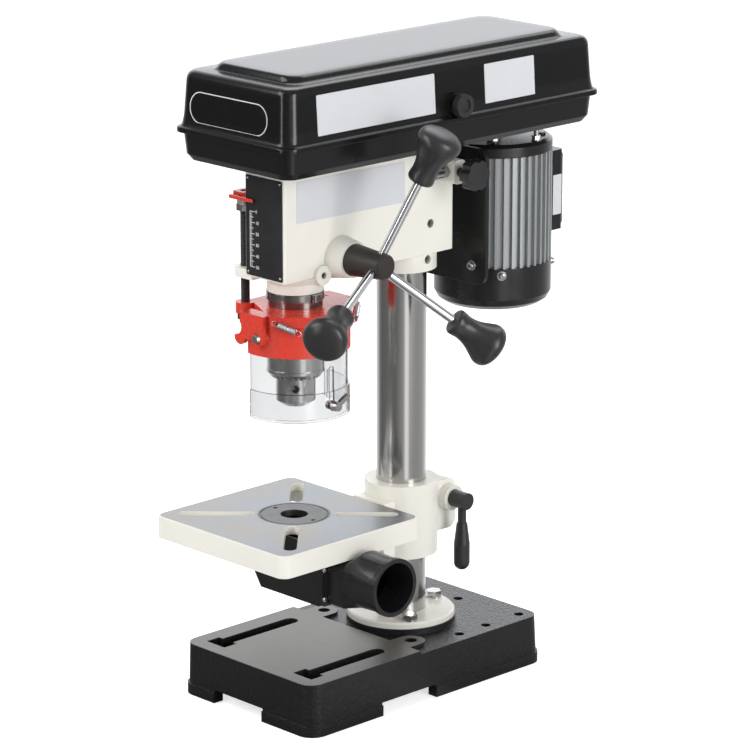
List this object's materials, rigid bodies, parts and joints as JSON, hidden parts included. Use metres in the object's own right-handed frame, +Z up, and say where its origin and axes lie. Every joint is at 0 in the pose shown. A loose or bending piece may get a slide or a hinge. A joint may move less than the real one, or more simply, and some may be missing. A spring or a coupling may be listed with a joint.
{
  "type": "oscillating drill press",
  "caption": "Bench drill press with a round column, tilting slotted table with dust port, lever-fed quill, chuck with clear guard, belt cover and finned motor",
  "frame": {"origin": "where the column axis meets the bench under the base", "axes": "+X to the operator's right, +Y to the back, +Z up"},
  "size_m": [0.2329, 0.4155, 0.5895],
  "materials": {
    "cast_black": "black textured paint on cast iron",
    "ivory": "ivory paint on castings",
    "cover_black": "gloss black cover",
    "plate_white": "bare white plates and printed marks",
    "steel": "turned and ground steel",
    "chrome": "polished plating",
    "red_paint": "gloss red paint",
    "black_plastic": "moulded black plastic",
    "black_metal": "black painted steel",
    "clear": "clear moulded plastic",
    "rubber": "moulded V-belt",
    "aluminium": "die-cast aluminium",
    "dark_hub": "blackened hub"
  },
  "bodies": {
    "stand": {"base": "cast_black", "column_flange": "ivory", "flange_bolts": "steel", "column": "steel", "head_casting": "ivory", "scale_plate": "black_metal", "spring_housing": "black_metal", "return_spring": "steel", "belt_pan": "cover_black", "lid_hinge_pins": "steel", "switch_box": "black_plastic", "v_belt": "rubber", "pulley_bearings": "steel"},
    "quill": {"quill": "steel", "quill_bearings": "steel", "quill_collar": "black_metal", "guard_plate": "red_paint", "guard_pivots": "chrome", "depth_rod": "black_metal", "depth_pointer": "red_paint", "guard_spring_front": "steel", "guard_spring_rear": "steel"},
    "depth_nuts": {"depth_nuts": "black_metal"},
    "spindle": {"spindle": "steel", "chuck_body": "steel"},
    "chuck_sleeve": {"chuck_sleeve": "steel"},
    "jaw_1": {"chuck_jaw_1": "steel"},
    "jaw_2": {"chuck_jaw_2": "steel"},
    "jaw_3": {"chuck_jaw_3": "steel"},
    "feed": {"pinion_shaft": "steel", "feed_hub": "dark_hub", "feed_levers": "chrome", "feed_knobs": "black_plastic"},
    "spindle_drive": {"drive_sleeve": "steel", "spindle_pulley": "aluminium"},
    "oscillator": {"oscillator_gear": "steel"},
    "motor": {"motor_plate": "black_metal", "slide_rods": "chrome", "motor_case": "aluminium", "motor_bottom_cap": "black_metal", "motor_top_cap": "black_metal", "junction_box": "black_plastic"},
    "motor_rotor": {"motor_shaft": "steel", "motor_pulley": "aluminium"},
    "lid": {"belt_lid": "cover_black"},
    "lid_knob": {"lid_knob": "black_plastic"},
    "slide_lock_right": {"slide_lock_right": "black_plastic"},
    "slide_lock_left": {"slide_lock_left": "black_plastic"},
    "bracket": {"table_bracket": "ivory", "tilt_bolt": "steel"},
    "table_clamp": {"table_clamp": "black_metal"},
    "table": {"work_table": "ivory", "table_insert": "steel", "dust_hopper": "black_plastic", "dust_port": "black_plastic"},
    "guard": {"guard_skirt": "red_paint", "shield_upper": "clear"},
    "shield": {"shield_lower": "clear"},
    "wing_bolt": {"wing_bolt": "black_plastic"},
    "switch": {"switch_rocker": "red_paint"}
  },
  "joints": [
    {"name": "quill_feed", "type": "slide", "parent": "stand", "child": "quill", "axis": [0, 0, -1], "range_m": [0, 0.05], "stiffness_N_per_m": 250, "springref_m": -0.25},
    {"name": "feed_turn", "type": "hinge", "parent": "stand", "child": "feed", "pos_m": [0.06, -0.103, 0.415], "axis": [1, 0, 0], "range_deg": [0, 273]},
    {"name": "depth_nut_slide", "type": "slide", "parent": "quill", "child": "depth_nuts", "axis": [0, 0, 1], "range_m": [-0.04, 0]},
    {"name": "spindle_spin", "type": "hinge", "parent": "quill", "child": "spindle", "pos_m": [0, -0.132, 0.4], "axis": [0, 0, 1], "continuous": true},
    {"name": "chuck_sleeve_turn", "type": "hinge", "parent": "spindle", "child": "chuck_sleeve", "pos_m": [0, -0.132, 0.324], "axis": [0, 0, 1], "range_deg": [0, 720]},
    {"name": "jaw_1_slide", "type": "slide", "parent": "spindle", "child": "jaw_1", "axis": [0.1385, 0.1434, 0.9799], "range_m": [0, 0.0032]},
    {"name": "jaw_2_slide", "type": "slide", "parent": "spindle", "child": "jaw_2", "axis": [-0.1934, 0.0482, 0.9799], "range_m": [0, 0.0032]},
    {"name": "jaw_3_slide", "type": "slide", "parent": "spindle", "child": "jaw_3", "axis": [0.055, -0.1916, 0.9799], "range_m": [0, 0.0032]},
    {"name": "pulley_spin", "type": "hinge", "parent": "stand", "child": "spindle_drive", "pos_m": [0, -0.132, 0.54], "axis": [0, 0, 1], "continuous": true},
    {"name": "oscillator_turn", "type": "hinge", "parent": "stand", "child": "oscillator", "pos_m": [0, -0.0995, 0.48], "axis": [0, 0, 1], "continuous": true},
    {"name": "motor_slide", "type": "slide", "parent": "stand", "child": "motor", "axis": [0, 1, 0], "range_m": [-0.01, 0], "deforming": ["v_belt"]},
    {"name": "motor_spin", "type": "hinge", "parent": "motor", "child": "motor_rotor", "pos_m": [0, 0.119, 0.5], "axis": [0, 0, 1], "continuous": true},
    {"name": "lid_hinge", "type": "hinge", "parent": "stand", "child": "lid", "pos_m": [-0.08, -0.02, 0.52835], "axis": [0, -1, 0], "range_deg": [0, 95]},
    {"name": "lid_knob_turn", "type": "hinge", "parent": "lid", "child": "lid_knob", "pos_m": [0.0755, -0.0015, 0.5438], "axis": [1, 0, 0], "range_deg": [0, 90]},
    {"name": "slide_lock_right_turn", "type": "hinge", "parent": "stand", "child": "slide_lock_right", "pos_m": [0.06, 0.022, 0.476], "axis": [1, 0, 0], "range_deg": [-180, 180]},
    {"name": "slide_lock_left_turn", "type": "hinge", "parent": "stand", "child": "slide_lock_left", "pos_m": [-0.06, 0.022, 0.476], "axis": [-1, 0, 0], "range_deg": [-180, 180]},
    {"name": "table_lift", "type": "slide", "parent": "stand", "child": "bracket", "axis": [0, 0, -1], "range_m": [-0.06, 0.038]},
    {"name": "table_clamp_turn", "type": "hinge", "parent": "bracket", "child": "table_clamp", "pos_m": [0.039, 0.041, 0.16], "axis": [1, 0, 0], "range_deg": [-20, 80]},
    {"name": "table_tilt", "type": "hinge", "parent": "bracket", "child": "table", "pos_m": [0, -0.06, 0.14], "axis": [0, -1, 0], "range_deg": [-25, 45]},
    {"name": "guard_tilt", "type": "hinge", "parent": "quill", "child": "guard", "pos_m": [0.0084, -0.132, 0.3512], "axis": [0, 1, 0], "range_deg": [0, 16], "stiffness_Nm_per_rad": 0.4, "springref_deg": -28.65, "deforming": ["guard_spring_front", "guard_spring_rear"]},
    {"name": "shield_slide", "type": "slide", "parent": "guard", "child": "shield", "axis": [0, 0, 1], "range_m": [0, 0.03]},
    {"name": "wing_bolt_turn", "type": "hinge", "parent": "shield", "child": "wing_bolt", "pos_m": [0.05, -0.132, 0.288], "axis": [1, 0, 0], "range_deg": [-90, 90]},
    {"name": "switch_rock", "type": "hinge", "parent": "stand", "child": "switch", "pos_m": [-0.041, -0.047, 0.445], "axis": [0, 1, 0], "range_deg": [-8, 8]}
  ],
  "couplings": [
    {"joint": "feed_turn", "follows": "quill_feed", "rad_per_m": 95.238},
    {"joint": "pulley_spin", "follows": "spindle_spin", "ratio": 1},
    {"joint": "motor_spin", "follows": "spindle_spin", "ratio": 1},
    {"joint": "oscillator_turn", "follows": "spindle_spin", "ratio": -0.44444},
    {"joint": "jaw_1_slide", "follows": "chuck_sleeve_turn", "m_per_rad": 0.00025465},
    {"joint": "jaw_2_slide", "follows": "chuck_sleeve_turn", "m_per_rad": 0.00025465},
    {"joint": "jaw_3_slide", "follows": "chuck_sleeve_turn", "m_per_rad": 0.00025465}
  ]
}
